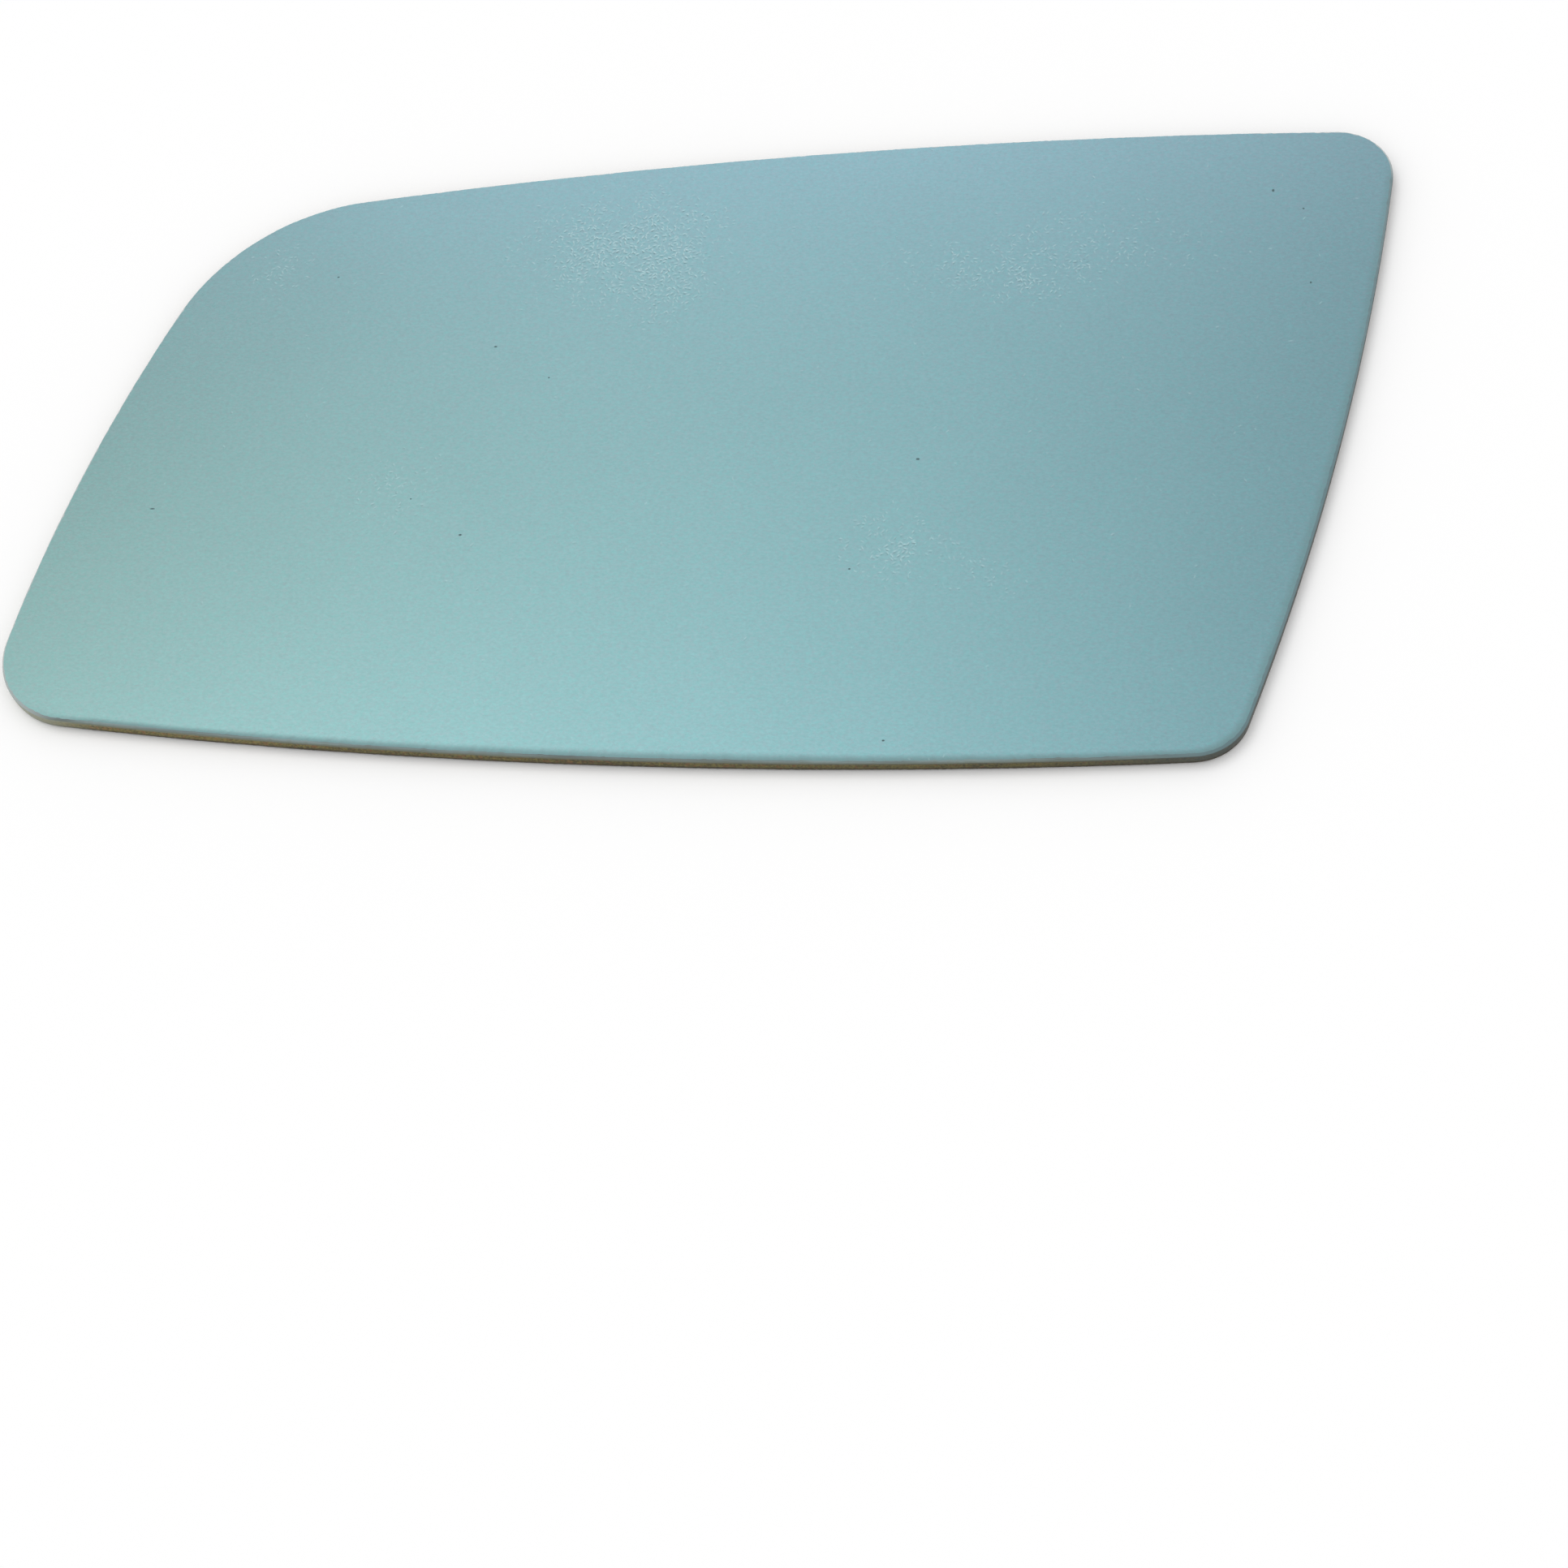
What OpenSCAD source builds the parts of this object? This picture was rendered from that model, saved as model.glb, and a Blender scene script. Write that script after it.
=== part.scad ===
// Glass of a car's left door mirror: one flat pane, lying on its back.
// The reflecting face looks up, +X points to the squarer inner end and +Y to the top edge.
// The outline is four long, gently bowed edges, each an arc of a large circle, and four
// corner arcs that run tangent into them. Both faces have a bevel ground along their edges.
// Lengths are in millimetres and angles in degrees.

/* [Glass] */
// Thickness of the pane
thickness = 2; // [1.6:0.1:3]
// Width and depth of the bevel along the edges of both faces
arris = 0.3; // [0.1:0.05:0.6]

/* [Inner edge] */
// Distance of the edge's farthest point from the datum point
inner_reach = 75.8; // [70:0.1:82]
// Direction that this farthest point faces, from +X
inner_angle = -14.5; // [-19:0.5:-11]
// Radius of the edge's bow
inner_radius = 400; // [300:10:600]

/* [Top edge] */
// Distance of the edge's farthest point from the datum point
top_reach = 42.5; // [38:0.1:47]
// Direction that this farthest point faces, from +X
top_angle = 96; // [93:0.5:99]
// Radius of the edge's bow
top_radius = 820; // [500:10:1200]

/* [Outer edge] */
// Distance of the edge's farthest point from the datum point
outer_reach = 73.2; // [68:0.1:80]
// Direction that this farthest point faces, from +X
outer_angle = 156.5; // [152:0.5:161]
// Radius of the edge's bow
outer_radius = 225; // [180:5:300]

/* [Bottom edge] */
// Distance of the edge's farthest point from the datum point
bottom_reach = 46.8; // [42:0.1:51]
// Direction that this farthest point faces, from +X
bottom_angle = 270; // [268:0.5:272]
// Radius of the edge's bow
bottom_radius = 800; // [600:10:1400]

/* [Corners] */
// Radius between the inner and the top edge
top_inner_corner = 7; // [3:0.5:14]
// Radius between the top and the outer edge
top_outer_corner = 29; // [20:1:38]
// Radius between the outer and the bottom edge
bottom_outer_corner = 10; // [5:0.5:18]
// Radius between the bottom and the inner edge
bottom_inner_corner = 7; // [3:0.5:14]

/* [Hidden] */
$fn = 360;

// The edges counter-clockwise, each as [angle, reach, radius], and the corner after each
edges = [
    [inner_angle, inner_reach, inner_radius],
    [top_angle, top_reach, top_radius],
    [outer_angle, outer_reach, outer_radius],
    [bottom_angle, bottom_reach, bottom_radius],
];
corners = [top_inner_corner, top_outer_corner, bottom_outer_corner, bottom_inner_corner];
count = len(edges);
sides = [0:count - 1];
// How far a corner's cut runs past both faces
overcut = 1;
// Start and end of a corner's cut, as shares of the corner radius: it leaves the glass inside
// the start, so the rounded corner laps into the pane, and its end takes in the sharp corner
cut_start = 0.5;
cut_end = 2;
// How far a corner's cut is shifted outward: too little to measure, but enough for the sides
// of the rounded corner to lap into the pane too, and not just touch it
lap = 5e-8;
// Each move is split into steps that are this much finer, down to the finest
step_ratio = 1000;
finest_step = 1e-9;

function heading(angle) = [cos(angle), sin(angle)];
function bearing(v) = atan2(v.y, v.x);
// Angle turned from one direction to another, counter-clockwise
function sweep(from, to) = let (turn = (to - from) % 360) turn < 0 ? turn + 360 : turn;
function after(i) = (i + 1) % count;
function before(i) = (i + count - 1) % count;

// Centre of an edge's circle, on the far side of the datum point
function edge_centre(i) = (edges[i][1] - edges[i][2]) * heading(edges[i][0]);

// Centre of a corner arc: a corner radius inside both edge circles, so it touches each from
// within. Two circles about the edge centres meet there, on the left of the line between them
function corner_centre(i) =
    let (
        a = edge_centre(i),
        b = edge_centre(after(i)),
        a_radius = edges[i][2] - corners[i],
        b_radius = edges[after(i)][2] - corners[i],
        span = norm(b - a),
        along = (b - a) / span,
        left = [-along.y, along.x],
        run = (a_radius^2 - b_radius^2 + span^2) / (2 * span)
    )
    a + run * along + sqrt(a_radius^2 - run^2) * left;

// Directions in which an edge's arc starts and ends: its seams with the corners beside it
function edge_start(i) = bearing(corner_centre(before(i)) - edge_centre(i));
function edge_end(i) = bearing(corner_centre(i) - edge_centre(i));
// Angle that a corner arc turns through, from one seam to the other
function corner_turn(i) = sweep(edge_end(i), edge_start(after(i)));

// Distance of the whole outline from the datum point in one direction: the arc that faces
// that way gives its farthest point
function extent(angle) = [
    for (i = sides)
        if (sweep(edge_start(i), angle) <= sweep(edge_start(i), edge_end(i)))
            edge_centre(i) * heading(angle) + edges[i][2],
    for (i = sides)
        if (sweep(edge_end(i), angle) <= corner_turn(i))
            corner_centre(i) * heading(angle) + corners[i]
][0];
middle = [extent(0) - extent(180), extent(90) - extent(270)] / 2;

// Moves children by whole steps, then by the rest in ever finer steps, so that seams between
// large circles meet to well under a thousandth of a millimetre
module place(p, step = 1) {
    whole = [for (v = p) floor(v / step) * step];
    translate(whole)
        if (step > finest_step) place(p - whole, step / step_ratio) children();
        else children();
}

// Half section of a round pane, with the bevel on both faces
module bevelled_section(radius) {
    polygon([
        [0, 0],
        [radius - arris, 0],
        [radius, arris],
        [radius, thickness - arris],
        [radius - arris, thickness],
        [0, thickness],
    ]);
}

// Section that takes off the sharp corner where two edges would meet
module cut_section(radius) {
    translate([radius * cut_start, -overcut])
        square([radius * (cut_end - cut_start), thickness + 2 * overcut]);
}

// Round pane whose rim carries one edge of the outline
module edge_disc(i) {
    place(edge_centre(i) - middle) rotate_extrude() bevelled_section(edges[i][2]);
}

// Sweeps a section about a corner's centre from seam to seam, and can shift it outward. It
// takes off the sharp corner and puts the rounded one in its place
module corner_sweep(i, shift = 0) {
    outward = heading(edge_end(i) + corner_turn(i) / 2);
    place(corner_centre(i) - middle + shift * outward)
        rotate_extrude(angle = corner_turn(i), start = edge_end(i))
            children();
}

module mirror_glass() {
    color([0.57, 0.73, 0.75]) {
        difference() {
            intersection_for (i = sides) edge_disc(i);
            for (i = sides) corner_sweep(i, shift = lap) cut_section(corners[i]);
        }
        for (i = sides) corner_sweep(i) bevelled_section(corners[i]);
    }
}

mirror_glass();
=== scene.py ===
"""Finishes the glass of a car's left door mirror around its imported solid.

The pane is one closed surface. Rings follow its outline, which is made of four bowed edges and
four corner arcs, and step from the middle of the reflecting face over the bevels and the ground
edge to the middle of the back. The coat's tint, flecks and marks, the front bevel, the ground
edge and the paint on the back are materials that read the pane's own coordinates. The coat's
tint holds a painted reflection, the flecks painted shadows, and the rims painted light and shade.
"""

import math
from typing import NamedTuple

import bpy
import numpy as np
from bpy.props import FloatProperty, FloatVectorProperty, IntProperty, PointerProperty
from bpy.types import Operator, Panel, PropertyGroup
from mathutils import Matrix, Vector


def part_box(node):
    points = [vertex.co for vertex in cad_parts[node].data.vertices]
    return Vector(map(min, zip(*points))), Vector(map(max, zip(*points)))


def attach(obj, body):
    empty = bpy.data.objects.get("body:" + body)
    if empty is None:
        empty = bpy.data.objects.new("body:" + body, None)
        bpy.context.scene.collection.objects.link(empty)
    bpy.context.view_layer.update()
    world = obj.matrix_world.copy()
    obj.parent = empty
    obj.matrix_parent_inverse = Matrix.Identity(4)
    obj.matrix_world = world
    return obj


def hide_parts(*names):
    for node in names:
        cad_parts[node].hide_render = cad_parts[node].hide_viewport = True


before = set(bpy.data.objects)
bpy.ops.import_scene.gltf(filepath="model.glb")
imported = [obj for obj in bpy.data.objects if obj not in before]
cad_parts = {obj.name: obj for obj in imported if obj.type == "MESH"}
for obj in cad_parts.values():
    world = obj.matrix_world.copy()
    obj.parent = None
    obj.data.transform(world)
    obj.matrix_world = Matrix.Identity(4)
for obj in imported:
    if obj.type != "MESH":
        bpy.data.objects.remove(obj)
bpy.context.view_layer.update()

bl_info = {
    "name": "Door mirror glass",
    "version": (1, 0, 0),
    "blender": (4, 5, 0),
    "location": "View3D > Sidebar > Mirror glass",
    "description": "Makes the tinted glass of a door mirror and a plain stage for it",
    "category": "Object",
}

MM = 0.001
NODE = "mirror_glass"
BODY = "root"
GLASS_LOW, GLASS_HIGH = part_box(NODE)
THICKNESS = GLASS_HIGH.z - GLASS_LOW.z
# How strongly the glass bends light
GLASS_IOR = 1.52

# Steps from the middle of a face to its rim, over a bevel and down the ground edge
FACE_RINGS = 9
BEVEL_RINGS = 2
EDGE_RINGS = 6
# The pane's finishes, in the order of its material slots
COAT, BEVEL, GROUND, PAINT = range(4)
# Numbers that the mesh holds for each point and the materials read
GIRTH = "girth"
# How much painted shade each point of the rim takes, by the way its side faces
SHADED_SIDE = "painted_shade_side"

# Fewest and most waves round the outline in a bevel's coarse and fine waver, and how much of
# the whole waver each one is
COARSE_WAVES = (3, 60)
FINE_WAVES = (150, 700)
COARSE_PART = 0.7
FINE_PART = 0.5
# Square root of the smallest chip's size beside the largest one's
LEAST_CHIP = 0.2
# Direction that the most shaded part of the rim faces, and how far the rim has to face that way,
# as a cosine, where its painted shade starts and where it's darkest
SHADE_FACING = math.radians(-80)
SHADE_START = -0.3
SHADE_FULL = 0.9
# Where the painted light that makes the rim paler round the outer end starts to fade and where
# it's gone, along X
PAINTED_LIGHT_START = GLASS_LOW.x + 2 * MM
PAINTED_LIGHT_STOP = GLASS_LOW.x + 16 * MM
# Least angle between two faces that is shaded as an edge
SHARP_ANGLE = math.radians(30)
# How far the pane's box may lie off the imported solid's box
BOX_TOLERANCE = 0.05 * MM

# Span that nearly all of a cloudy noise lies in
NOISE_SPAN = (0.2, 0.8)
# Spans of noise in which one look turns into another: thin patches of flecks into thick ones,
# the bevel's deep streaks into bright ones, olive into gold, no grit into reddish grit, and
# whole paint into worn paint
PATCH_SPAN = (0.35, 0.65)
BRIGHT_SPAN = (0.55, 1.05)
GOLD_SPAN = (0.6, 1.1)
RED_SPAN = (0.54, 0.68)
WORN_SPAN = (0.42, 0.72)
# How closely the coat's grain and the paint's rubbed streaks are packed along each axis
GRAIN_PACKING = (0.8, 1.3, 1.0)
RUB_PACKING = (0.06, 1.0, 1.0)
# Where a dark mark starts to fade and where it's gone, in its half sizes plus the noise
MARK_FADE = (1.3, 1.9)

# Clouds of flecks on the coat: centre along X and Y, half width and half depth in millimetres,
# and how dense the flecks are
FLECK_CLOUDS = (
    (-14, 28, 12, 8, 0.85),
    (-8, 26, 5, 10, 0.5),
    (32, 25, 14, 5, 0.42),
    (40, 23, 6, 4, 0.35),
    (-38, -10, 6, 6, 0.45),
    (25, -17, 6, 5, 0.6),
    (-59, 25, 5, 5, 0.4),
    (37, -21, 5, 4, 0.35),
    (51, 30, 16, 6, 0.3),
)

# Dark marks on the coat: place along X and Y, half length along X and half depth in millimetres
MARKS = (
    (-69, -12.7, 0.3, 0.09),
    (-51, 23.6, 0.14, 0.09),
    (-35.8, -10.8, 0.11, 0.08),
    (-28.7, -16, 0.2, 0.12),
    (-28.3, 12.5, 0.2, 0.1),
    (-20.7, 7.7, 0.1, 0.1),
    (19.9, -20.1, 0.12, 0.11),
    (27, -4.2, 0.2, 0.14),
    (25.8, -43.4, 0.15, 0.11),
    (69.1, 37.1, 0.14, 0.2),
    (72.9, 34.2, 0.12, 0.1),
    (73.9, 22.6, 0.11, 0.14),
)


def length(name, description, millimetres):
    """A length that is named in millimetres and kept in metres."""
    return FloatProperty(
        name=name, description=description, default=millimetres * MM, precision=5, unit="LENGTH"
    )


def angle(name, description, degrees):
    """An angle that is named in degrees and kept in radians."""
    return FloatProperty(
        name=name, description=description, default=math.radians(degrees), unit="ROTATION"
    )


def share(name, description, default):
    """A number from nothing to all."""
    return FloatProperty(
        name=name, description=description, default=default, min=0, max=1, subtype="FACTOR"
    )


def number(name, description, default):
    """A plain number that isn't below nothing."""
    return FloatProperty(name=name, description=description, default=default, min=0)


def colour(name, description, red, green, blue):
    """A colour that is named by its screen values from 0 to 255 and kept as light.

    Screen values are a power curve with a short straight foot; this undoes it.
    """
    screen = [value / 255 for value in (red, green, blue)]
    light = [v / 12.92 if v < 0.04045 else ((v + 0.055) / 1.055) ** 2.4 for v in screen]
    return FloatVectorProperty(
        name=name, description=description, default=light, min=0, max=1, size=3, subtype="COLOR"
    )


class OutlineSizes(PropertyGroup):
    """Reach, direction and bow of each edge, and the radius of each corner."""

    inner_reach: length("Inner reach", "Farthest point of the inner edge from the datum", 75.8)
    inner_angle: angle("Inner direction", "Direction that this point faces, from +X", -14.5)
    inner_radius: length("Inner bow", "Radius of the inner edge", 400)
    top_reach: length("Top reach", "Farthest point of the top edge from the datum", 42.5)
    top_angle: angle("Top direction", "Direction that this point faces, from +X", 96)
    top_radius: length("Top bow", "Radius of the top edge", 820)
    outer_reach: length("Outer reach", "Farthest point of the outer edge from the datum", 73.2)
    outer_angle: angle("Outer direction", "Direction that this point faces, from +X", 156.5)
    outer_radius: length("Outer bow", "Radius of the outer edge", 225)
    bottom_reach: length("Bottom reach", "Farthest point of the bottom edge from the datum", 46.8)
    bottom_angle: angle("Bottom direction", "Direction that this point faces, from +X", 270)
    bottom_radius: length("Bottom bow", "Radius of the bottom edge", 800)
    top_inner_corner: length("Top inner corner", "Radius between inner and top edge", 7)
    top_outer_corner: length("Top outer corner", "Radius between top and outer edge", 29)
    bottom_outer_corner: length("Bottom outer corner", "Radius between outer and bottom edge", 10)
    bottom_inner_corner: length("Bottom inner corner", "Radius between bottom and inner edge", 7)

    def edges(self):
        """The edges counter-clockwise, each as reach, angle and radius."""
        return np.array([
            [self.inner_reach, self.inner_angle, self.inner_radius],
            [self.top_reach, self.top_angle, self.top_radius],
            [self.outer_reach, self.outer_angle, self.outer_radius],
            [self.bottom_reach, self.bottom_angle, self.bottom_radius],
        ])

    def corners(self):
        """The radius of the corner after each edge."""
        return np.array([
            self.top_inner_corner,
            self.top_outer_corner,
            self.bottom_outer_corner,
            self.bottom_inner_corner,
        ])


class GrindSizes(PropertyGroup):
    """How the grinding wheel left the edges of the pane."""

    arris: length("Bevel", "Width and depth of the bevel along both faces", 0.3)
    crown: length("Crown", "How far the ground edge bulges at its middle", 0.03)
    step: length("Step", "Longest step along the outline", 0.2)
    waver: share("Waver", "How far the bevel's width strays, as a share of the width", 0.14)
    chips: IntProperty(name="Chips", description="Chips along the front bevel", default=420, min=1)
    chip_depth: length("Chip depth", "Deepest chip into the coat", 0.09)
    chip_width: length("Chip width", "Half width of the widest chip", 0.5)
    seed: IntProperty(name="Seed", description="Start of the random draws", default=7)


class CoatFinish(PropertyGroup):
    """Colour and finish of the reflecting coat."""

    # The three tints are the coat's own colour with painted reflection of the pale surroundings in
    # them.
    outer_tint: colour("Outer tint", "Tint at the outer end", 135, 172, 170)
    inner_tint: colour("Inner tint", "Tint at the inner end", 132, 178, 187)
    top_tint: colour("Top tint", "Tint along the top edge", 147, 187, 200)
    fleck_tint: colour("Fleck tint", "Tint of the pale flecks", 200, 228, 232)
    # The dark marks' tint, which also paints the flecks' shadows
    mark_and_shadow_tint: colour("Mark tint", "Tint of the dark marks", 82, 106, 110)
    # Painted shade: a darker tint that creeps into the coat from the bevel along the bottom and
    # inner rims.
    rim_shade_tint: colour("Rim tint", "Tint that creeps in from the bevel", 106, 136, 138)
    # Painted reflection: the coat is brightest about a place along the pane and paler along the
    # bottom edge.
    reflection_place: share("Sheen place", "Where the tint is fullest, from the outer end", 0.28)
    reflection_lean: share("Sheen lean", "How far that place moves inward up to the top", 0.2)
    reflection_falloff: number("Sheen fall-off", "How fast the tint deepens away from it", 1.2)
    lower_reflection_lift: share("Lower lift", "How much paler the coat is along the bottom edge", 0.4)
    # Reach and strength of that painted rim shade
    rim_shade_creep: length("Rim creep", "How far the bevel's tint creeps into the coat", 1.2)
    rim_shade_share: share("Rim share", "How strong that tint is at the bevel, low and inward", 0.75)
    grain: share("Grain", "Unevenness of the coat in its fine grain", 0.18)
    speckle: share("Speckle", "How far that grain strays to pink and to green", 0.4)
    mottle: share("Mottle", "Unevenness of the coat over a few centimetres", 0.03)
    fleck_cells: number("Fleck cells", "Places for a fleck along a millimetre", 1.9)
    fleck_length: length("Fleck length", "Half length of a fleck", 0.28)
    fleck_width: length("Fleck width", "Half width of a fleck", 0.09)
    fleck_drop: length("Fleck drop", "How far a fleck's shadow lies below it", 0.22)
    fleck_count: number("Fleck count", "Share of places that hold a fleck, over the density", 1.7)
    fleck_lone: share("Lone fleck", "Strength of a fleck outside the clouds", 0.4)
    fleck_full: share("Full density", "Density at which flecks are at their full strength", 0.8)
    fleck_faint: share("Faintest fleck", "Strength of the faintest fleck", 0.15)
    fleck_clear: share("Clearest fleck", "Strength of the clearest fleck", 0.75)
    fleck_shade: share("Fleck shade", "Strength of a fleck's shadow beside its own", 0.9)
    fleck_strays: share("Stray flecks", "Density outside the clouds", 0.003)
    cloud_rim: share("Cloud rim", "Density that is taken off a cloud, which ends its rim", 0.08)
    patch_thin: number("Thin patch", "How dense a cloud is in its thin patches", 0.5)
    patch_thick: number("Thick patch", "How dense a cloud is in its thick patches", 1.1)
    roughness: share("Roughness", "Roughness of the clean coat", 0.09)
    matt_roughness: share("Matt roughness", "Roughness of the dark marks", 0.5)
    fleck_matt: share("Matt flecks", "How matt a fleck is beside a dark mark", 0.6)
    polish: share("Polish", "Strength of the polished front's own reflection", 0.5)
    polish_roughness: share("Polish roughness", "Roughness of the polished front", 0.03)


class RimFinish(PropertyGroup):
    """Colours and finish of the bevels, the ground edge and the back."""

    bevel_deep: colour("Deep bevel", "Darker streaks of the front bevel", 94, 106, 105)
    bevel_bright: colour("Bright bevel", "Brighter streaks of the front bevel", 130, 149, 148)
    bevel_cool: colour("Cool bevel", "Front bevel along the inner side", 92, 126, 134)
    # Painted light: the front bevel is paler along the top and outer edges.
    bevel_painted_light: colour("Pale bevel", "Front bevel along the top and outer edges", 158, 169, 169)
    lip_tint: colour("Lip", "Where the front bevel meets the ground edge", 98, 104, 90)
    lip_reach: length("Lip reach", "How far the lip fades out on both sides", 0.35)
    lip_share: share("Lip share", "How strong the lip is at the seam", 0.8)
    ground_olive: colour("Olive", "Darker streaks of the ground edge", 52, 48, 20)
    ground_gold: colour("Gold", "Brighter streaks of the ground edge", 118, 109, 56)
    ground_red: colour("Reddish grit", "Reddish grains of the ground edge", 120, 72, 42)
    red_share: share("Red share", "How strong the reddish grains are", 0.6)
    ground_grey: colour("Grey", "Ground edge along the inner side", 60, 72, 74)
    # Painted light: the ground edge is pale round the outer end.
    ground_painted_light: colour("Pale end", "Ground edge round the outer end", 152, 157, 142)
    painted_light_share: share("Pale share", "How pale it is there", 0.9)
    ground_brown: colour("Brown", "Back bevel and foot of the ground edge", 46, 40, 20)
    brown_reach: length("Brown reach", "How far the brown creeps up the ground edge", 0.7)
    # Painted shade: how low a side has to be for its bevel to take it fully
    shade_reach: share("Deep reach", "How low a side has to be for its bevel to be fully deep", 0.6)
    bevel_roughness: share("Bevel roughness", "Roughness of the front bevel", 0.22)
    # Painted light and shade: the bevel and the ground edge are paler at the outer end and darker at
    # the inner end.
    bevel_outer_light: number("Bevel's outer paleness", "Paleness of the bevel, outer end", 1.05)
    bevel_inner_light: number("Bevel's inner paleness", "Paleness of the bevel, inner end", 0.9)
    ground_outer_light: number("Ground's outer paleness", "Paleness of the ground edge, outer end", 1.4)
    ground_inner_light: number("Ground's inner paleness", "Paleness of the ground edge, inner end", 0.5)
    cool_start: length("Cool start", "Where the rim starts to turn cooler, along X", 40)
    cool_full: length("Cool full", "Where the rim is coolest", 74)
    cool_share: share("Cool share", "How cool it is there", 0.8)
    ground_roughness: share("Ground roughness", "Roughness of the ground edge", 0.5)
    ground_gloss: share("Ground gloss", "Strength of the ground edge's reflection", 0.3)
    paint_dark: colour("Paint", "Protective paint on the back", 62, 65, 68)
    paint_worn: colour("Worn paint", "Rubbed streaks in that paint", 84, 87, 90)
    paint_roughness: share("Paint roughness", "Roughness of the paint", 0.6)


class StageSettings(PropertyGroup):
    """Floor, light and camera."""

    floor_side: length("Floor side", "Side of the square floor", 6000)
    floor_gap: length("Floor gap", "Gap between the pane and the floor", 0.05)
    floor_seen: colour("Seen floor", "Floor as the camera sees it", 255, 255, 255)
    floor_lit: colour("Lit floor", "Floor as it lights the pane", 235, 235, 235)
    sky_light: number("Sky light", "Strength of the light from all round", 0.85)
    sky_edge: share("Low sky", "How bright reflections are near the floor", 1.0)
    sky_top: share("High sky", "How bright reflections are from straight above", 0.97)
    sun_light: number("Sun light", "Strength of the soft lamp", 0.53)
    sun_spread: angle("Sun spread", "How wide the lamp looks, which softens its shadow", 35)
    sun_tilt: angle("Sun tilt", "Tilt of the lamp from straight above", 28)
    sun_turn: angle("Sun turn", "Turn of the lamp about straight up, from +X", 140)
    lens: FloatProperty(name="Lens", description="Focal length in mm", default=65.217)
    sensor: FloatProperty(name="Sensor", description="Side of the picture in mm", default=36)
    distance: length("Distance", "Camera to the middle of the pane's back", 356.68)
    tilt: angle("Tilt", "Angle between the view and straight down", 36.106)
    turn: angle("Turn", "Direction of the camera about straight up, from +X", -72.151)
    roll: angle("Roll", "Turn of the picture about the line of sight", 14.255)
    picture_side: number("Picture side", "Side of the picture in pixels", 1932)
    aim_across: number("Aim across", "Pixel column in which the pane's middle lies", 869.85)
    aim_down: number("Aim down", "Pixel row in which the pane's middle lies", 540.17)


class Arcs(NamedTuple):
    """Arcs of the outline, counter-clockwise: edge, corner, edge, corner and so on."""

    centre: np.ndarray
    radius: np.ndarray
    start: np.ndarray
    sweep: np.ndarray


class Walk(NamedTuple):
    """Points along the outline, and the arc that each one lies on."""

    centre: np.ndarray
    radius: np.ndarray
    heading: np.ndarray
    distance: np.ndarray
    total: float


def headings(angles):
    """Unit vectors for an array of angles."""
    return np.stack([np.cos(angles), np.sin(angles)], axis=-1)


def bearings(vectors):
    """Angles of an array of vectors."""
    return np.arctan2(vectors[:, 1], vectors[:, 0])


def outline_arcs(sizes):
    """The outline as arcs, with the middle of its box at the origin.

    An edge's circle has its centre on the far side of the datum, its radius less its reach
    away. A corner's circle touches two edge circles from within, so its centre is where two
    smaller circles about the edge centres meet, each smaller by the corner's radius, on the
    left of the line between them. A seam faces away from the edge's centre through the
    corner's centre.
    """
    reach, facing, bow = sizes.edges().T
    rounding = sizes.corners()
    edge = (reach - bow)[:, None] * headings(facing)
    following = np.roll(edge, -1, axis=0)
    near = bow - rounding
    far = np.roll(bow, -1) - rounding
    span = np.linalg.norm(following - edge, axis=1)
    along = (following - edge) / span[:, None]
    left = np.stack([-along[:, 1], along[:, 0]], axis=1)
    run = (near**2 - far**2 + span**2) / (2 * span)
    rise = np.sqrt(near**2 - run**2)
    corner = edge + run[:, None] * along + rise[:, None] * left
    edge_end = bearings(corner - edge)
    edge_start = bearings(np.roll(corner, 1, axis=0) - edge)
    start = np.stack([edge_start, edge_end], axis=1).ravel()
    arcs = Arcs(
        centre=np.stack([edge, corner], axis=1).reshape(-1, 2),
        radius=np.stack([bow, rounding], axis=1).ravel(),
        start=start,
        sweep=(np.roll(start, -1) - start) % math.tau,
    )
    low = [-support(arcs, math.pi), -support(arcs, -math.pi / 2)]
    high = [support(arcs, 0), support(arcs, math.pi / 2)]
    return arcs._replace(centre=arcs.centre - np.add(low, high) / 2)


def support(arcs, direction):
    """How far the outline reaches in one direction.

    The arc that faces that way gives it: its centre's reach in that direction plus its radius.
    """
    faces = (direction - arcs.start) % math.tau <= arcs.sweep
    reach = arcs.centre @ headings(np.array(direction)) + arcs.radius
    return reach[faces].max()


def walk_outline(arcs, step):
    """Points along the outline: each arc is cut into equal steps no longer than the given one."""
    run = arcs.radius * arcs.sweep
    counts = np.ceil(run / step).astype(int)
    arc = np.repeat(np.arange(len(counts)), counts)
    first = np.cumsum(counts) - counts
    part = (np.arange(len(arc)) - first[arc]) / counts[arc]
    return Walk(
        centre=arcs.centre[arc],
        radius=arcs.radius[arc],
        heading=headings(arcs.start[arc] + arcs.sweep[arc] * part),
        distance=(np.cumsum(run) - run)[arc] + run[arc] * part,
        total=run.sum(),
    )


def waver(walk, random, fewest, most, count=48):
    """A smooth wander round the outline, mostly from -1 to 1.

    The sum of sine waves that each fit a whole number of times round the outline, with random
    phases, over the square root of half their number, and halved.
    """
    waves = random.integers(fewest, most, count)
    phases = random.uniform(0, math.tau, count)
    angles = walk.distance[:, None] / walk.total * math.tau * waves + phases
    return np.sin(angles).sum(axis=1) / math.sqrt(count / 2) / 2


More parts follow.
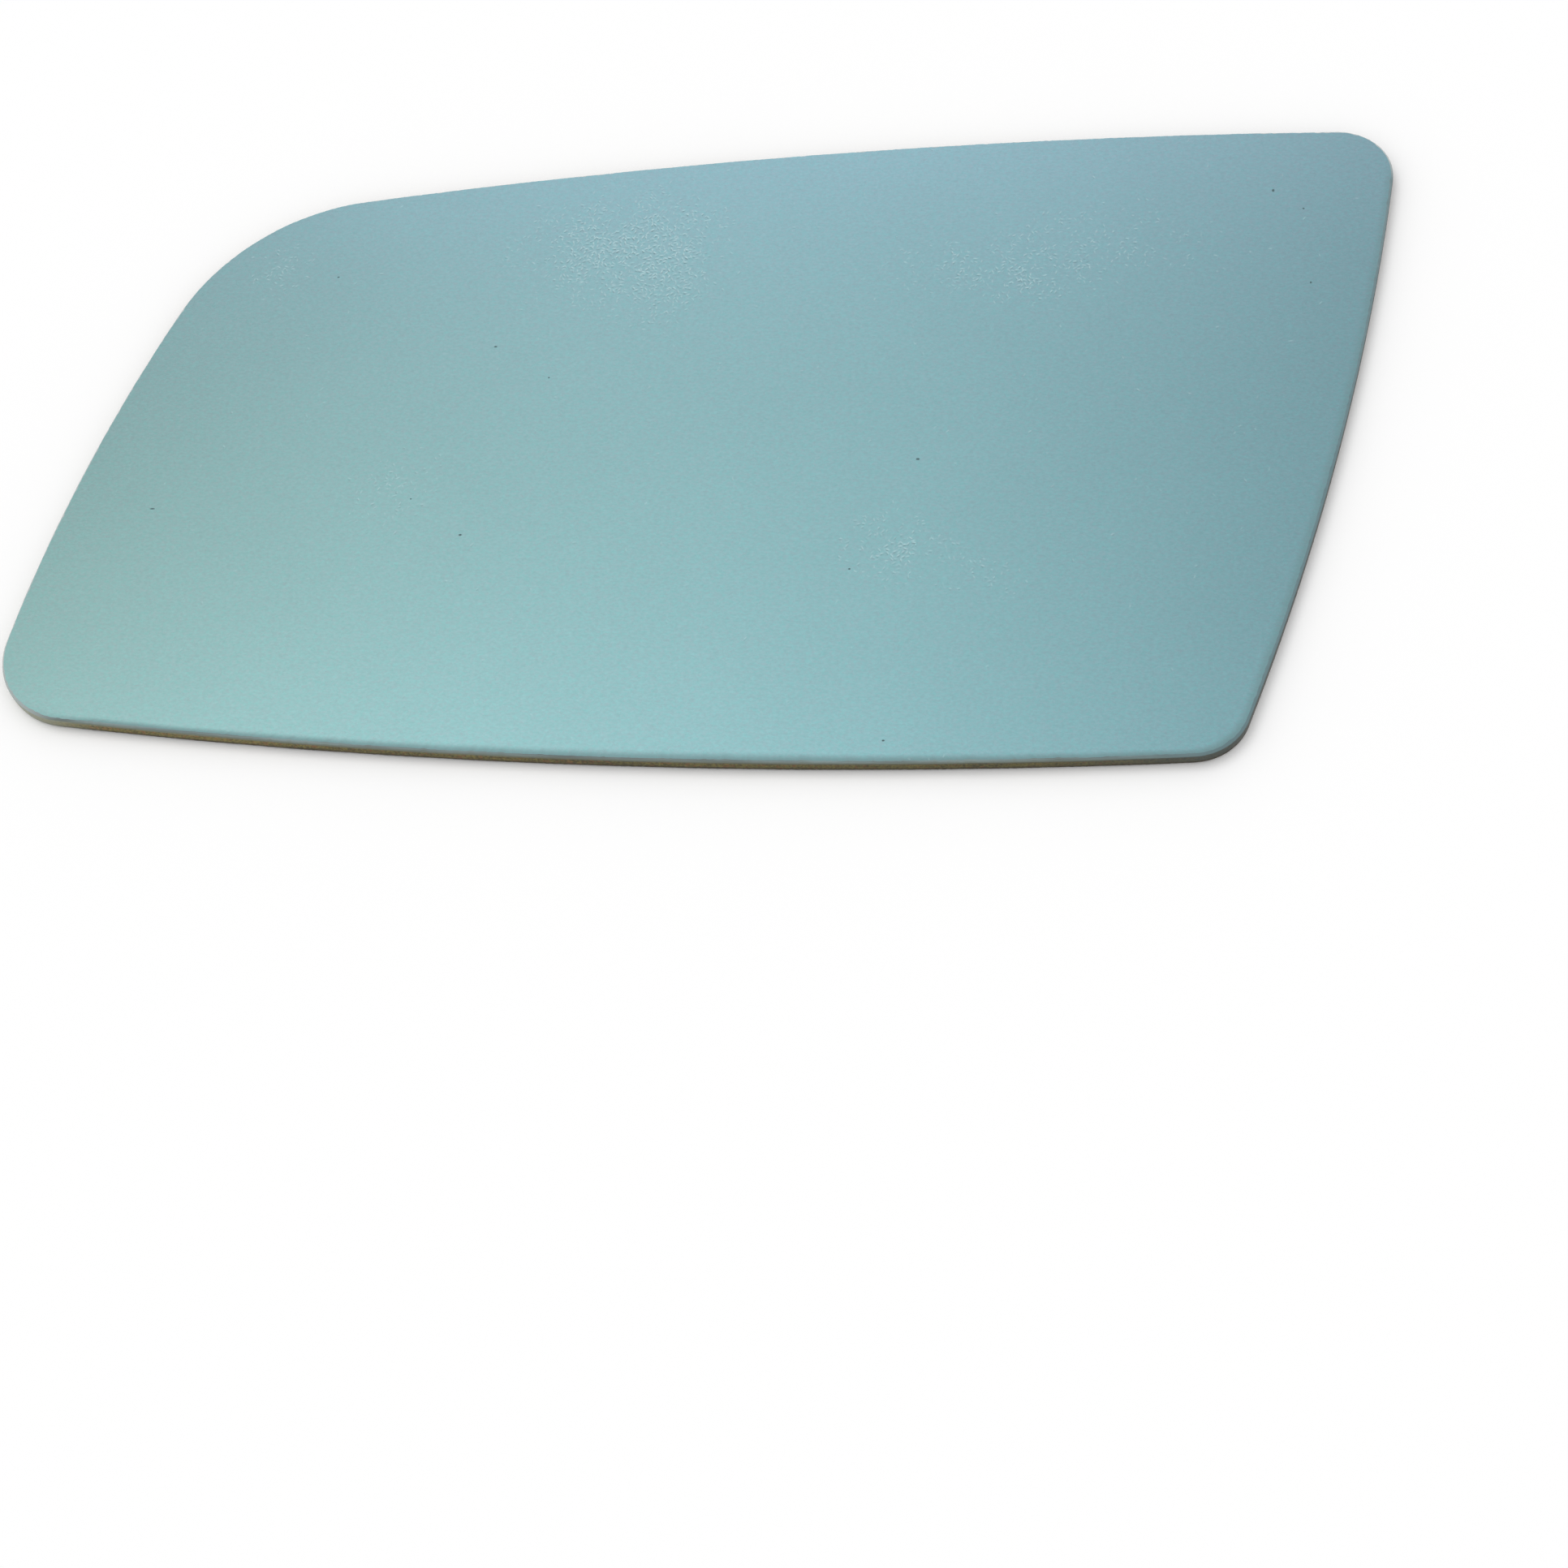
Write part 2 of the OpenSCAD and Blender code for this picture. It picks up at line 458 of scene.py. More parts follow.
def chips(walk, random, grind):
    """Depth of the chips that the wheel broke out of the coat's rim.

    Each chip is a parabola: its depth times one less the square of the distance from its
    middle over its half width. Small chips are the most common, and the deepest one counts.
    """
    middle = random.uniform(0, walk.total, grind.chips)
    size = random.uniform(LEAST_CHIP, 1, grind.chips) ** 2
    gap = np.abs((walk.distance[:, None] - middle + walk.total / 2) % walk.total - walk.total / 2)
    bite = grind.chip_depth * size * (1 - (gap / (grind.chip_width * size)) ** 2)
    return bite.max(axis=1).clip(0)


def bevel_widths(walk, random, grind):
    """Widths of the bevels all along the outline.

    There are four: how far the front one reaches into the coat and down the edge, how far the
    back one reaches up the edge, and how far it reaches into the paint. Each is the bevel's
    width, with a coarse and a fine waver.
    """
    coarse = [waver(walk, random, *COARSE_WAVES) for _ in range(4)]
    fine = [waver(walk, random, *FINE_WAVES) for _ in range(4)]
    stray = COARSE_PART * np.array(coarse) + FINE_PART * np.array(fine)
    return grind.arris * (1 + grind.waver * stray)


def rim_section(walk, grind):
    """Inset and height of the rings over the rim, from the coat's rim to the paint's rim.

    Both bevels are straight lines at about 45 degrees whose widths waver along the outline,
    and the front one's top also has the chips. The ground edge is a shallow parabola: its inset
    is the crown times the square of the distance from the edge's middle, where it is nothing.
    """
    random = np.random.default_rng(grind.seed)
    into_coat, below_coat, above_paint, into_paint = bevel_widths(walk, random, grind)
    coat_rim = into_coat + chips(walk, random, grind)
    top = THICKNESS - below_coat
    bottom = above_paint
    down = np.linspace(0, 1, BEVEL_RINGS + 1)[:, None]
    across = np.linspace(0, 1, EDGE_RINGS + 1)[:, None]
    front_inset = coat_rim * (1 - down) + grind.crown * down
    front_height = THICKNESS * (1 - down) + top * down
    edge_inset = grind.crown * (2 * across - 1) ** 2 * np.ones_like(top)
    edge_height = top * (1 - across) + bottom * across
    back_inset = grind.crown * (1 - down) + into_paint * down
    back_height = bottom * (1 - down)
    inset = np.concatenate([front_inset, edge_inset[1:-1], back_inset])
    height = np.concatenate([front_height, edge_height[1:-1], back_height])
    return inset, height


def pane_rings(walk, grind):
    """Places of all rings, from the front face's middle to the back face's middle.

    A ring of a face is the outline, set in by the bevel and shrunk towards the middle. A ring
    of the rim is the outline set in along each arc's own radius.
    """
    inset, height = rim_section(walk, grind)
    shrink = np.linspace(0, 1, FACE_RINGS + 1)[1:-1, None]
    plain = np.full((len(shrink), len(walk.distance)), grind.arris)
    inset = np.concatenate([plain, inset, plain])
    height = np.concatenate([np.full_like(plain, THICKNESS), height, np.zeros_like(plain)])
    scale = np.ones_like(inset)
    scale[: len(shrink)] = shrink
    scale[-len(shrink) :] = shrink[::-1]
    plane = walk.centre + (walk.radius - inset)[..., None] * walk.heading
    return np.concatenate([plane * scale[..., None], height[..., None]], axis=-1)


def ring_zones():
    """The finish between each ring and the next one."""
    face = FACE_RINGS - 1
    rim = [BEVEL] * BEVEL_RINGS + [GROUND] * (EDGE_RINGS + BEVEL_RINGS)
    return np.array([COAT] * face + rim + [PAINT] * face)


def pane_faces(rings, columns):
    """Corners of the faces between neighbouring rings and of the fans that close the middles."""
    index = np.arange(rings * columns).reshape(rings, columns)
    beside = np.roll(index, -1, axis=1)
    quads = np.stack([index[:-1], index[1:], beside[1:], beside[:-1]], axis=-1).reshape(-1, 4)
    front = np.full(columns, rings * columns)
    back = front + 1
    fan = np.stack([front, index[0], beside[0]], axis=-1)
    back_fan = np.stack([back, beside[-1], index[-1]], axis=-1)
    return quads, np.concatenate([fan, back_fan])


def girths(rings):
    """How far each point of the rings lies from the coat's rim, measured over the section.

    The sum of the steps from ring to ring: below nothing on the coat, and growing over the
    bevel, down the ground edge and in across the back.
    """
    steps = np.linalg.norm(np.diff(rings, axis=0), axis=-1)
    run = np.concatenate([np.zeros((1, rings.shape[1])), np.cumsum(steps, axis=0)])
    return run - run[FACE_RINGS - 1]


def smooth_step(values, low, high):
    """Nothing below the low value and one above the high one, with a smooth rise between."""
    part = ((values - low) / (high - low)).clip(0, 1)
    return part**2 * (3 - 2 * part)


def painted_shade_sides(walk, rings):
    """How much painted shade each side takes: one along the bottom edge, two thirds along the inner
    one and nothing along the others.

    A smooth step of the cosine between the way that the edge faces and the way that its most shaded
    part does, which is down and a little inward, times another step over the painted light of the
    pale end.
    """
    facing = walk.heading @ headings(np.array(SHADE_FACING))
    inward = smooth_step(rings[FACE_RINGS, :, 0], PAINTED_LIGHT_START, PAINTED_LIGHT_STOP)
    return np.tile(smooth_step(facing, SHADE_START, SHADE_FULL) * inward, (rings.shape[0], 1))


def add_attribute(mesh, name, values, front, back):
    """Gives each point of the mesh a number: those of the rings, then of the two middles."""
    spread = mesh.attributes.new(name, "FLOAT", "POINT")
    spread.data.foreach_set("value", np.concatenate([values.ravel(), [front, back]]))


def pane_mesh(name, outline, grind):
    """The pane's closed mesh, with a finish for each face, and two numbers for each point."""
    walk = walk_outline(outline_arcs(outline), grind.step)
    rings = pane_rings(walk, grind)
    middles = [[0, 0, THICKNESS], [0, 0, 0]]
    quads, fans = pane_faces(*rings.shape[:2])
    mesh = bpy.data.meshes.new(name)
    points = np.concatenate([rings.reshape(-1, 3), middles])
    mesh.from_pydata(points.tolist(), [], quads.tolist() + fans.tolist())
    finish = np.repeat(ring_zones(), len(walk.distance))
    fan_finish = np.repeat([COAT, PAINT], len(walk.distance))
    mesh.polygons.foreach_set("material_index", np.concatenate([finish, fan_finish]))
    mesh.polygons.foreach_set("use_smooth", np.ones(len(mesh.polygons), bool))
    girth = girths(rings)
    add_attribute(mesh, GIRTH, girth, girth.min(), girth.max())
    add_attribute(mesh, SHADED_SIDE, painted_shade_sides(walk, rings), 0, 0)
    mesh.set_sharp_from_angle(angle=SHARP_ANGLE)
    return mesh


def check_outline(mesh):
    """Stops if the pane's box isn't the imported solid's box."""
    places = np.empty(len(mesh.vertices) * 3)
    mesh.vertices.foreach_get("co", places)
    places = places.reshape(-1, 3)
    off = max(
        np.abs(places.min(axis=0) - GLASS_LOW).max(),
        np.abs(places.max(axis=0) - GLASS_HIGH).max(),
    )
    if off > BOX_TOLERANCE:
        raise RuntimeError(f"the pane's box is {off / MM:.3f} mm off the packed solid's box")


class Bench:
    """Builds the shader nodes of one material or of the world."""

    def __init__(self, tree):
        self.tree = tree
        tree.nodes.clear()

    def put(self, kind, inputs, **settings):
        """Adds a node. Inputs are a value or a socket each, by name or by number."""
        node = self.tree.nodes.new(kind)
        for name, value in settings.items():
            setattr(node, name, value)
        for name, value in inputs.items():
            if isinstance(value, bpy.types.NodeSocket):
                self.tree.links.new(value, node.inputs[name])
            else:
                node.inputs[name].default_value = value
        return node

    def maths(self, operation, *values):
        """One step of arithmetic on numbers."""
        node = self.put("ShaderNodeMath", dict(enumerate(values)), operation=operation)
        return node.outputs[0]

    def vectors(self, operation, *values):
        """One step of arithmetic on vectors that gives a vector."""
        node = self.put("ShaderNodeVectorMath", dict(enumerate(values)), operation=operation)
        return node.outputs["Vector"]

    def measure(self, operation, *values):
        """One step of arithmetic on vectors that gives a number."""
        node = self.put("ShaderNodeVectorMath", dict(enumerate(values)), operation=operation)
        return node.outputs["Value"]

    def weigh(self, *parts):
        """The sum of numbers, each given with its weight."""
        total = 0.0
        for value, weight in parts:
            total = self.maths("MULTIPLY_ADD", value, weight, total)
        return total

    def parts(self, vector):
        """A vector's parts, by name."""
        return self.put("ShaderNodeSeparateXYZ", {0: vector}).outputs

    def ramp(self, value, low, high, to_low=0.0, to_high=1.0, curve="SMOOTHSTEP"):
        """Takes the span from low to high to another span, and holds its ends."""
        inputs = {
            "Value": value,
            "From Min": low,
            "From Max": high,
            "To Min": to_low,
            "To Max": to_high,
        }
        return self.put("ShaderNodeMapRange", inputs, interpolation_type=curve).outputs[0]

    def mix(self, part, first, second):
        """Blends two colours: part of the second and the rest of the first."""
        inputs = {0: part, 6: opaque(first), 7: opaque(second)}
        return self.put("ShaderNodeMix", inputs, data_type="RGBA").outputs[2]

    def scale_colour(self, tint, amount):
        """A colour times a number."""
        inputs = {0: tint, "Scale": amount}
        node = self.put("ShaderNodeVectorMath", inputs, operation="SCALE")
        return node.outputs["Vector"]

    def noise_node(self, place, per_mm, detail=2.0, roughness=0.5, distortion=0.0):
        """Cloudy noise with so many features to the millimetre, as a number and a colour."""
        inputs = {
            "Vector": place,
            "Scale": per_mm / MM,
            "Detail": detail,
            "Roughness": roughness,
            "Distortion": distortion,
        }
        return self.put("ShaderNodeTexNoise", inputs).outputs

    def noise(self, place, per_mm, **options):
        """Cloudy noise from 0 to 1, with so many features to the millimetre."""
        return self.noise_node(place, per_mm, **options)["Fac"]

    def spot(self, place, x, y, half_width, half_depth):
        """The way from a spot's middle, in its half sizes, which are given in millimetres."""
        offset = self.vectors("SUBTRACT", place, (x * MM, y * MM, 0))
        spans = (1 / (half_width * MM), 1 / (half_depth * MM), 0)
        return self.vectors("MULTIPLY", offset, spans)

    def bell(self, reach):
        """A bell curve: falls with the square of the vector's length."""
        square = self.measure("DOT_PRODUCT", reach, reach)
        return self.maths("EXPONENT", self.maths("MULTIPLY", square, -1.0))

    def place(self):
        """The point's own coordinates on the piece."""
        return self.put("ShaderNodeTexCoord", {}).outputs["Object"]

    def read(self, attribute):
        """A number that the mesh holds for each point."""
        return self.put("ShaderNodeAttribute", {}, attribute_name=attribute).outputs["Fac"]

    def relief(self, height, strength, depth_mm):
        """The way that a surface faces where its height changes by so many millimetres."""
        inputs = {"Height": height, "Strength": strength, "Distance": depth_mm * MM}
        return self.put("ShaderNodeBump", inputs).outputs[0]

    def surface(self, inputs):
        """Ends the tree in a surface with these inputs."""
        shader = self.put("ShaderNodeBsdfPrincipled", inputs)
        self.put("ShaderNodeOutputMaterial", {"Surface": shader.outputs[0]})


def opaque(tint):
    """A colour with its fourth part, or a socket as it is."""
    return tint if isinstance(tint, bpy.types.NodeSocket) else (*tint, 1)


def new_material(name):
    """An empty material and the bench that builds it."""
    material = bpy.data.materials.new(name)
    material.use_nodes = True
    return material, Bench(material.node_tree)


def fleck_clouds(bench, place):
    """Where flecks gather: the sum of oval clouds, each a bell curve times its density."""
    clouds = [(bench.bell(bench.spot(place, *spot)), dense) for *spot, dense in FLECK_CLOUDS]
    return bench.weigh(*clouds)


def flecks(bench, place, density, finish):
    """How pale the flecks are, and how dark their shadows just below them.

    Cells strewn over the coat each have room for one fleck, and three random numbers: one
    turns it, one says whether it's there and one how clear it is. Flecks are fainter where
    there are few. A fleck is a bell curve along its length and a narrower one across.
    """
    inputs = {"Vector": place, "Scale": finish.fleck_cells / MM}
    cell = bench.put("ShaderNodeTexVoronoi", inputs, voronoi_dimensions="2D").outputs
    draw = bench.put("ShaderNodeSeparateColor", {0: cell["Color"]}).outputs
    turn = bench.maths("MULTIPLY", draw["Red"], math.pi)
    places_held = bench.maths("MULTIPLY", density, finish.fleck_count)
    there = bench.maths("LESS_THAN", draw["Green"], places_held)
    ends = (finish.fleck_faint, finish.fleck_clear)
    clear = bench.ramp(draw["Blue"], 0.0, 1.0, *ends, curve="LINEAR")
    fade = bench.ramp(density, 0.0, finish.fleck_full, finish.fleck_lone, 1.0, curve="LINEAR")
    strength = bench.maths("MULTIPLY", there, bench.maths("MULTIPLY", clear, fade))
    offset = bench.vectors("SUBTRACT", place, cell["Position"])
    spans = (1 / finish.fleck_length, 1 / finish.fleck_width, 0)
    found = []
    for drop in (0.0, finish.fleck_drop):
        shifted = bench.vectors("ADD", offset, (0, drop, 0))
        inputs = {"Vector": shifted, "Angle": turn}
        turned = bench.put("ShaderNodeVectorRotate", inputs, rotation_type="Z_AXIS").outputs[0]
        dash = bench.bell(bench.vectors("MULTIPLY", turned, spans))
        found.append(bench.maths("MULTIPLY", dash, strength))
    return found


def dark_marks(bench, place):
    """One inside a mark and nothing outside: each is an oval with a ragged rim."""
    total = 0.0
    ragged = bench.noise(place, per_mm=4.0)
    for spot in MARKS:
        reach = bench.measure("LENGTH", bench.spot(place, *spot))
        inside = bench.ramp(bench.maths("ADD", reach, ragged), *MARK_FADE, 1.0, 0.0)
        total = bench.maths("MAXIMUM", inside, total)
    return total


def coat_tint_and_reflection(bench, place, finish):
    """The coat's tint without its flecks, with a painted reflection of the surroundings in it.

    The tint runs from the outer end to the inner end, and turns bluer by the cube of the way up;
    both tints hold painted reflection. It is dimmed by a bell curve along the pane whose middle
    leans inward up to the top. Towards the bottom edge it is lifted by the square of the distance
    from the top edge. The bell and the lift are painted reflection.
    """
    parts = bench.parts(place)
    along = bench.ramp(parts["X"], GLASS_LOW.x, GLASS_HIGH.x, curve="LINEAR")
    up = bench.ramp(parts["Y"], GLASS_LOW.y, GLASS_HIGH.y, curve="LINEAR")
    # Painted reflection: a bell of brightness along the pane and a lift along the bottom edge
    middle = bench.maths("MULTIPLY_ADD", up, finish.reflection_lean, finish.reflection_place)
    aside = bench.maths("SUBTRACT", along, middle)
    falloff = bench.maths("MULTIPLY", bench.maths("MULTIPLY", aside, aside), -finish.reflection_falloff)
    bell = bench.maths("EXPONENT", falloff)
    down = bench.maths("SUBTRACT", 1.0, up)
    lift = bench.maths("MULTIPLY_ADD", bench.maths("MULTIPLY", down, down), finish.lower_reflection_lift, 1.0)
    tint = bench.mix(along, finish.outer_tint, finish.inner_tint)
    tint = bench.mix(bench.maths("POWER", up, 3.0), tint, finish.top_tint)
    return bench.scale_colour(tint, bench.maths("MULTIPLY", bell, lift))


def uneven(bench, noise, amount):
    """A factor about one that follows the noise: its ends are that amount apart."""
    ends = (1 - amount / 2, 1 + amount / 2)
    return bench.ramp(noise, *NOISE_SPAN, *ends, curve="LINEAR")


def grainy(bench, place, tint, finish):
    """The tint with a fine grain, which is drawn out along the pane, and a broad mottle.

    A faint speckle goes with the grain: it takes the tint to pink one way and to green the other.
    """
    drawn = bench.vectors("MULTIPLY", place, GRAIN_PACKING)
    fine = bench.noise_node(drawn, per_mm=2.6, detail=3.0, roughness=0.55, distortion=0.6)
    broad = bench.noise(place, per_mm=0.05, detail=3.0)
    grain = uneven(bench, fine["Fac"], finish.grain)
    mottle = uneven(bench, broad, finish.mottle)
    tint = bench.scale_colour(tint, bench.maths("MULTIPLY", grain, mottle))
    hue = bench.put("ShaderNodeSeparateColor", {0: fine["Color"]}).outputs["Green"]
    stray = bench.maths("SUBTRACT", hue, 0.5)
    shift = bench.scale_colour((finish.speckle, -finish.speckle / 2, -finish.speckle / 4), stray)
    return bench.vectors("MULTIPLY", tint, bench.vectors("ADD", shift, (1, 1, 1)))


def coat_material(finish):
    """The reflecting coat, seen through the polished front of the glass."""
    material, bench = new_material("tinted_mirror_coat")
    place = bench.place()
    tint = grainy(bench, place, coat_tint_and_reflection(bench, place, finish), finish)
    # Painted shade: the coat darkens towards the bevel along the bottom and inner rims.
    painted_rim_shade = bench.ramp(bench.read(GIRTH), -finish.rim_shade_creep, 0.0, 0.0, finish.rim_shade_share)
    tint = bench.mix(bench.maths("MULTIPLY", painted_rim_shade, bench.read(SHADED_SIDE)), tint, finish.rim_shade_tint)
    patches = bench.noise(place, per_mm=0.3, detail=1.0)
    patches = bench.ramp(patches, *PATCH_SPAN, finish.patch_thin, finish.patch_thick)
    cloud = bench.maths("MULTIPLY_ADD", fleck_clouds(bench, place), patches, -finish.cloud_rim)
    density = bench.maths("MAXIMUM", cloud, finish.fleck_strays)
    pale, shadow = flecks(bench, place, density, finish)
    # Painted shadow: a dark copy of each fleck just below it, in the marks' tint
    shade = bench.maths("MULTIPLY", shadow, finish.fleck_shade)
    tint = bench.mix(shade, tint, finish.mark_and_shadow_tint)
    tint = bench.mix(pale, tint, finish.fleck_tint)
    marks = dark_marks(bench, place)
    tint = bench.mix(marks, tint, finish.mark_and_shadow_tint)
    matt = bench.maths("MAXIMUM", bench.maths("MULTIPLY", pale, finish.fleck_matt), marks)
    bench.surface({
        "Base Color": tint,
        "Metallic": 1.0,
        "Roughness": bench.ramp(matt, 0.0, 1.0, finish.roughness, finish.matt_roughness),
        "Coat Weight": finish.polish,
        "Coat Roughness": finish.polish_roughness,
        "Coat IOR": GLASS_IOR,
    })
    return material


def streaks(bench, place, girth, along_per_mm, across_per_mm):
    """Noise drawn out along the rim, as a wheel leaves it.

    It is coarse along the outline and fine across the section, so its lines follow the girth.
    """
    flat = bench.vectors("MULTIPLY", place, (along_per_mm / MM, along_per_mm / MM, 0))
    depth = bench.maths("MULTIPLY", girth, across_per_mm / MM)
    lifted = bench.put("ShaderNodeCombineXYZ", {"Z": depth}).outputs[0]
    inputs = {"Vector": bench.vectors("ADD", flat, lifted), "Scale": 1.0, "Detail": 3.0}
    return bench.put("ShaderNodeTexNoise", inputs).outputs[0]


def rim_light_and_cool(bench, along, tint, ends, cool_tint, finish):
    """The rim's tint as it changes along X: painted light that is ever less pale to the inner end,
    where it turns to painted shade, and cooler there.
    """
    # Painted light at the outer end, painted shade at the inner end
    paleness = bench.ramp(along, GLASS_LOW.x, GLASS_HIGH.x, *ends, curve="LINEAR")
    cool = bench.ramp(along, finish.cool_start, finish.cool_full, 0.0, finish.cool_share)
    return bench.mix(cool, bench.scale_colour(tint, paleness), cool_tint)


def bevel_girth(grind):
    """Width of a bevel's own face, which lies at 45 degrees."""
    return math.sqrt(2) * grind.arris


def lip(bench, girth, finish, grind):
    """How strong the polished lip is, where the front bevel meets the ground edge.

    It fades to nothing on both sides of the seam.
    """
    aside = bench.maths("ABSOLUTE", bench.maths("SUBTRACT", girth, bevel_girth(grind)))
    return bench.ramp(aside, 0.0, finish.lip_reach, finish.lip_share, 0.0)


def bevel_material(finish, grind):
    """The front bevel: the coat's colour seen through ground and half polished glass.

    It is darker along the bottom and inner edges and paler along the others: painted shade and
    painted light.
    """
    material, bench = new_material("front_bevel")
    place = bench.place()
    girth = bench.read(GIRTH)
    lines = streaks(bench, place, girth, along_per_mm=0.25, across_per_mm=9.0)
    patches = bench.noise(place, per_mm=0.06)
    blend = bench.weigh((lines, 0.7), (patches, 0.9))
    tint = bench.mix(bench.ramp(blend, *BRIGHT_SPAN), finish.bevel_deep, finish.bevel_bright)
    tint = bench.mix(lip(bench, girth, finish, grind), tint, finish.lip_tint)
    ends = (finish.bevel_outer_light, finish.bevel_inner_light)
    tint = rim_light_and_cool(bench, bench.parts(place)["X"], tint, ends, finish.bevel_cool, finish)
    # Painted shade on the low sides, painted light on the others
    deep = bench.ramp(bench.read(SHADED_SIDE), 0.0, finish.shade_reach)
    bench.surface({
        "Base Color": bench.mix(deep, finish.bevel_painted_light, tint),
        "Roughness": finish.bevel_roughness,
        "IOR": GLASS_IOR,
        "Normal": bench.relief(lines, strength=0.2, depth_mm=0.02),
    })
    return material


def ground_material(finish, grind):
    """The ground edge and the back bevel: satin, olive to gold with reddish grit.

    It is grey along the inner side and brown along the back. Painted light makes it pale round the
    outer end, and it darkens towards the inner end as painted shade.
    """
    material, bench = new_material("ground_edge")
    place = bench.place()
    along = bench.parts(place)["X"]
    girth = bench.read(GIRTH)
    lines = streaks(bench, place, girth, along_per_mm=0.2, across_per_mm=5.0)
    grit = bench.noise(place, per_mm=3.5)
    patches = bench.noise(place, per_mm=0.05)
    blend = bench.weigh((grit, 0.9), (lines, 0.4), (patches, 0.4))
    tint = bench.mix(bench.ramp(blend, *GOLD_SPAN), finish.ground_olive, finish.ground_gold)
    grains = bench.ramp(bench.noise(place, per_mm=2.0), *RED_SPAN, 0.0, finish.red_share)
    tint = bench.mix(grains, tint, finish.ground_red)
    tint = bench.mix(lip(bench, girth, finish, grind), tint, finish.lip_tint)
    ends = (finish.ground_outer_light, finish.ground_inner_light)
    tint = rim_light_and_cool(bench, along, tint, ends, finish.ground_grey, finish)
    # The girth where the back bevel starts
    foot = bevel_girth(grind) + THICKNESS - 2 * grind.arris
    lower = bench.ramp(girth, foot - finish.brown_reach, foot)
    tint = bench.mix(lower, tint, finish.ground_brown)
    # Painted light round the outer end
    pale = bench.ramp(along, PAINTED_LIGHT_START, PAINTED_LIGHT_STOP, finish.painted_light_share, 0.0)
    bench.surface({
        "Base Color": bench.mix(pale, tint, finish.ground_painted_light),
        "Roughness": finish.ground_roughness,
        "IOR": GLASS_IOR,
        "Specular IOR Level": finish.ground_gloss,
        "Normal": bench.relief(bench.maths("ADD", lines, grit), strength=0.5, depth_mm=0.02),
    })
    return material


def paint_material(finish):
    """The protective paint on the back, with faint rubbed streaks and a fine orange peel."""
    material, bench = new_material("back_paint")
    place = bench.place()
    drawn = bench.vectors("MULTIPLY", place, RUB_PACKING)
    rubbed = bench.noise(drawn, per_mm=0.9, detail=4.0)
    peel = bench.noise(place, per_mm=1.6)
    tint = bench.mix(bench.ramp(rubbed, *WORN_SPAN), finish.paint_dark, finish.paint_worn)
    bench.surface({
        "Base Color": tint,
        "Roughness": finish.paint_roughness,
        "Normal": bench.relief(peel, strength=0.5, depth_mm=0.03),
    })
    return material


def link_object(name, data):
    """An object at the origin, in the scene."""
    made = bpy.data.objects.new(name, data)
    bpy.context.scene.collection.objects.link(made)
    return made


class MIRRORGLASS_OT_pane(Operator):
    """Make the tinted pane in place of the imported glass"""

    bl_idname = "mirror_glass.pane"
    bl_label = "Tinted pane"

    def execute(self, context):
        scene = context.scene
        grind = scene.mirror_glass_grind
        rim = scene.mirror_glass_rim
        mesh = pane_mesh("tinted_pane", scene.mirror_glass_outline, grind)
        check_outline(mesh)
        mesh.materials.append(coat_material(scene.mirror_glass_coat))
        mesh.materials.append(bevel_material(rim, grind))
        mesh.materials.append(ground_material(rim, grind))
        mesh.materials.append(paint_material(rim))
        pane = link_object("tinted_pane", mesh)
        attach(pane, BODY)
        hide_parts(NODE)
        return {"FINISHED"}


def floor_material(stage):
    """A matt floor that the camera and reflections see as white, shadows apart."""
    material, bench = new_material("pale_floor")
    ray = bench.put("ShaderNodeLightPath", {}).outputs
    seen = bench.maths("MAXIMUM", ray["Is Camera Ray"], ray["Is Glossy Ray"])
    seen = bench.maths("MAXIMUM", seen, ray["Is Transmission Ray"])
    tint = bench.mix(seen, stage.floor_lit, stage.floor_seen)
    shader = bench.put("ShaderNodeBsdfDiffuse", {"Color": tint})
    bench.put("ShaderNodeOutputMaterial", {"Surface": shader.outputs[0]})
    return material


def make_floor(stage):
    """A flat square floor just under the pane."""
    half = stage.floor_side / 2
    height = GLASS_LOW.z - stage.floor_gap
    corners = [(-half, -half), (half, -half), (half, half), (-half, half)]
    mesh = bpy.data.meshes.new("floor")
    mesh.from_pydata([(x, y, height) for x, y in corners], [], [(0, 1, 2, 3)])
    mesh.materials.append(floor_material(stage))
    link_object("floor", mesh)


def make_sky(stage):
    """Light from all round: white to the camera, a faint gradient in reflections."""
    world = bpy.data.worlds.new("plain_sky")
    world.use_nodes = True
    bpy.context.scene.world = world
    bench = Bench(world.node_tree)
    ray = bench.put("ShaderNodeLightPath", {}).outputs
    direction = bench.put("ShaderNodeTexCoord", {}).outputs["Generated"]
    height = bench.parts(direction)["Z"]
    mirrored = bench.ramp(height, 0.0, 1.0, stage.sky_edge, stage.sky_top)
    mirrors = bench.maths("MAXIMUM", ray["Is Glossy Ray"], ray["Is Transmission Ray"])
    strength = bench.ramp(mirrors, 0.0, 1.0, stage.sky_light, mirrored, curve="LINEAR")
    strength = bench.ramp(ray["Is Camera Ray"], 0.0, 1.0, strength, 1.0, curve="LINEAR")
    light = bench.put("ShaderNodeBackground", {"Color": (1, 1, 1, 1), "Strength": strength})
    bench.put("ShaderNodeOutputWorld", {"Surface": light.outputs[0]})


def make_lamp(stage):
    """One wide, soft lamp, which isn't mirrored in the pane."""
    data = bpy.data.lights.new("soft_lamp", "SUN")
    data.energy = stage.sun_light
    data.angle = stage.sun_spread
    lamp = link_object("soft_lamp", data)
    turned = Matrix.Rotation(stage.sun_turn, 3, "Z")
    tilted = Matrix.Rotation(stage.sun_tilt, 3, "Y")
    lamp.rotation_euler = (turned @ tilted).to_euler()
    lamp.visible_glossy = False


